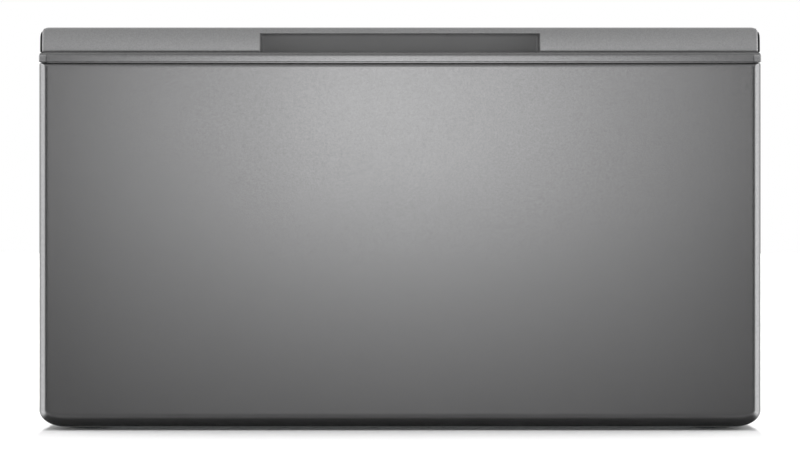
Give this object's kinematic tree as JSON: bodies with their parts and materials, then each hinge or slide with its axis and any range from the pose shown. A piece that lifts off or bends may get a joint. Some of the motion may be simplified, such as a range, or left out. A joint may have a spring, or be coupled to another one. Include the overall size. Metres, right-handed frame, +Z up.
{
  "type": "laundry pedestal",
  "caption": "Laundry pedestal: steel stand for a front-load washer, with a full-width storage drawer on ball-bearing slides, grip pocket and levelling feet.",
  "frame": {"origin": "on the floor, below the middle of the body", "axes": "+Z up, -Y out of the drawer front, +X to the right of a person facing the front"},
  "size_m": [0.686, 0.676, 0.383],
  "materials": {
    "front_paint": "satin metallic grey enamel",
    "handle_paint": "satin metallic grey on the moulded handle rail",
    "cabinet_paint": "satin metallic grey enamel",
    "drawer_paint": "light grey powder coat",
    "galvanised_steel": "galvanised, faint spangle",
    "slide_steel": "zinc plated, lightly greased",
    "cage_steel": "zinc plated strip",
    "fastener_steel": "zinc plated",
    "ball_steel": "polished",
    "pocket_plastic": "fine grained",
    "divider_plastic": "fine grained",
    "black_plastic": "moulded, slightly worn",
    "rubber": "matt"
  },
  "bodies": {
    "cabinet": {"left_side_panel": "cabinet_paint", "right_side_panel": "cabinet_paint", "back_panel": "galvanised_steel", "top_deck": "cabinet_paint", "front_top_rail": "galvanised_steel", "front_bottom_rail": "galvanised_steel", "rear_bottom_rail": "galvanised_steel", "left_base_rail": "galvanised_steel", "right_base_rail": "galvanised_steel", "front_left_post": "galvanised_steel", "front_right_post": "galvanised_steel", "rear_left_post": "galvanised_steel", "rear_right_post": "galvanised_steel", "left_slide_support": "galvanised_steel", "right_slide_support": "galvanised_steel", "left_slide_outer": "slide_steel", "right_slide_outer": "slide_steel", "foot_weld_nuts": "fastener_steel", "foot_lock_nuts": "fastener_steel", "back_panel_screws": "fastener_steel", "slide_mount_screws": "fastener_steel"},
    "drawer": {"front_skin": "front_paint", "front_liner": "drawer_paint", "front_stiffener": "galvanised_steel", "handle_rail": "handle_paint", "handle_pocket": "pocket_plastic", "handle_trim": "front_paint", "left_end_cap": "black_plastic", "right_end_cap": "black_plastic", "drawer_left_wall": "drawer_paint", "drawer_right_wall": "drawer_paint", "drawer_back_wall": "drawer_paint", "drawer_front_wall": "drawer_paint", "drawer_floor": "drawer_paint", "left_slide_inner": "slide_steel", "right_slide_inner": "slide_steel", "drawer_slide_screws": "fastener_steel", "front_screws": "fastener_steel", "drawer_bumpers": "rubber"},
    "divider": {"drawer_divider": "divider_plastic"},
    "left_lever": {"left_release_lever": "black_plastic"},
    "right_lever": {"right_release_lever": "black_plastic"},
    "left_middle_member": {"left_slide_middle": "slide_steel"},
    "left_outer_cage": {"left_outer_ball_cage": "cage_steel", "left_outer_balls": "ball_steel"},
    "left_inner_cage": {"left_inner_ball_cage": "cage_steel", "left_inner_balls": "ball_steel"},
    "right_middle_member": {"right_slide_middle": "slide_steel"},
    "right_outer_cage": {"right_outer_ball_cage": "cage_steel", "right_outer_balls": "ball_steel"},
    "right_inner_cage": {"right_inner_ball_cage": "cage_steel", "right_inner_balls": "ball_steel"},
    "front_left_pad": {"front_left_foot_pad": "rubber"},
    "front_left_stem": {"front_left_foot_stem": "fastener_steel"},
    "front_right_pad": {"front_right_foot_pad": "rubber"},
    "front_right_stem": {"front_right_foot_stem": "fastener_steel"},
    "rear_left_pad": {"rear_left_foot_pad": "rubber"},
    "rear_left_stem": {"rear_left_foot_stem": "fastener_steel"},
    "rear_right_pad": {"rear_right_foot_pad": "rubber"},
    "rear_right_stem": {"rear_right_foot_stem": "fastener_steel"}
  },
  "joints": [
    {"name": "drawer_slide", "type": "slide", "parent": "cabinet", "child": "drawer", "axis": [0, -1, 0], "range_m": [0, 0.52]},
    {"name": "left_outer_cage_slide", "type": "slide", "parent": "cabinet", "child": "left_outer_cage", "axis": [0, -1, 0], "range_m": [0, 0.13]},
    {"name": "left_middle_member_slide", "type": "slide", "parent": "cabinet", "child": "left_middle_member", "axis": [0, -1, 0], "range_m": [0, 0.26]},
    {"name": "left_inner_cage_slide", "type": "slide", "parent": "cabinet", "child": "left_inner_cage", "axis": [0, -1, 0], "range_m": [0, 0.39]},
    {"name": "right_outer_cage_slide", "type": "slide", "parent": "cabinet", "child": "right_outer_cage", "axis": [0, -1, 0], "range_m": [0, 0.13]},
    {"name": "right_middle_member_slide", "type": "slide", "parent": "cabinet", "child": "right_middle_member", "axis": [0, -1, 0], "range_m": [0, 0.26]},
    {"name": "right_inner_cage_slide", "type": "slide", "parent": "cabinet", "child": "right_inner_cage", "axis": [0, -1, 0], "range_m": [0, 0.39]},
    {"name": "divider_lift", "type": "slide", "parent": "drawer", "child": "divider", "axis": [0, 0, 1], "range_m": [0, 0.045]},
    {"name": "left_lever_pivot", "type": "hinge", "parent": "drawer", "child": "left_lever", "pos_m": [-0.3037, -0.12, 0.15], "axis": [-1, 0, 0], "range_deg": [0, 4], "stiffness_Nm_per_rad": 0.02, "springref_deg": -2.86},
    {"name": "right_lever_pivot", "type": "hinge", "parent": "drawer", "child": "right_lever", "pos_m": [0.3037, -0.12, 0.15], "axis": [1, 0, 0], "range_deg": [0, 4], "stiffness_Nm_per_rad": 0.02, "springref_deg": -2.86},
    {"name": "front_left_foot_height", "type": "slide", "parent": "cabinet", "child": "front_left_pad", "axis": [0, 0, -1], "range_m": [0, 0.02]},
    {"name": "front_left_foot_turn", "type": "hinge", "parent": "front_left_pad", "child": "front_left_stem", "pos_m": [-0.3, -0.25, 0.02], "axis": [0, 0, -1], "range_deg": [0, 4801]},
    {"name": "front_right_foot_height", "type": "slide", "parent": "cabinet", "child": "front_right_pad", "axis": [0, 0, -1], "range_m": [0, 0.02]},
    {"name": "front_right_foot_turn", "type": "hinge", "parent": "front_right_pad", "child": "front_right_stem", "pos_m": [0.3, -0.25, 0.02], "axis": [0, 0, -1], "range_deg": [0, 4801]},
    {"name": "rear_left_foot_height", "type": "slide", "parent": "cabinet", "child": "rear_left_pad", "axis": [0, 0, -1], "range_m": [0, 0.02]},
    {"name": "rear_left_foot_turn", "type": "hinge", "parent": "rear_left_pad", "child": "rear_left_stem", "pos_m": [-0.3, 0.2906, 0.02], "axis": [0, 0, -1], "range_deg": [0, 4801]},
    {"name": "rear_right_foot_height", "type": "slide", "parent": "cabinet", "child": "rear_right_pad", "axis": [0, 0, -1], "range_m": [0, 0.02]},
    {"name": "rear_right_foot_turn", "type": "hinge", "parent": "rear_right_pad", "child": "rear_right_stem", "pos_m": [0.3, 0.2906, 0.02], "axis": [0, 0, -1], "range_deg": [0, 4801]}
  ],
  "couplings": [
    {"joint": "left_outer_cage_slide", "follows": "drawer_slide", "ratio": 0.25},
    {"joint": "left_middle_member_slide", "follows": "drawer_slide", "ratio": 0.5},
    {"joint": "left_inner_cage_slide", "follows": "drawer_slide", "ratio": 0.75},
    {"joint": "right_outer_cage_slide", "follows": "drawer_slide", "ratio": 0.25},
    {"joint": "right_middle_member_slide", "follows": "drawer_slide", "ratio": 0.5},
    {"joint": "right_inner_cage_slide", "follows": "drawer_slide", "ratio": 0.75},
    {"joint": "front_left_foot_turn", "follows": "front_left_foot_height", "rad_per_m": 4188.8},
    {"joint": "front_right_foot_turn", "follows": "front_right_foot_height", "rad_per_m": 4188.8},
    {"joint": "rear_left_foot_turn", "follows": "rear_left_foot_height", "rad_per_m": 4188.8},
    {"joint": "rear_right_foot_turn", "follows": "rear_right_foot_height", "rad_per_m": 4188.8}
  ]
}
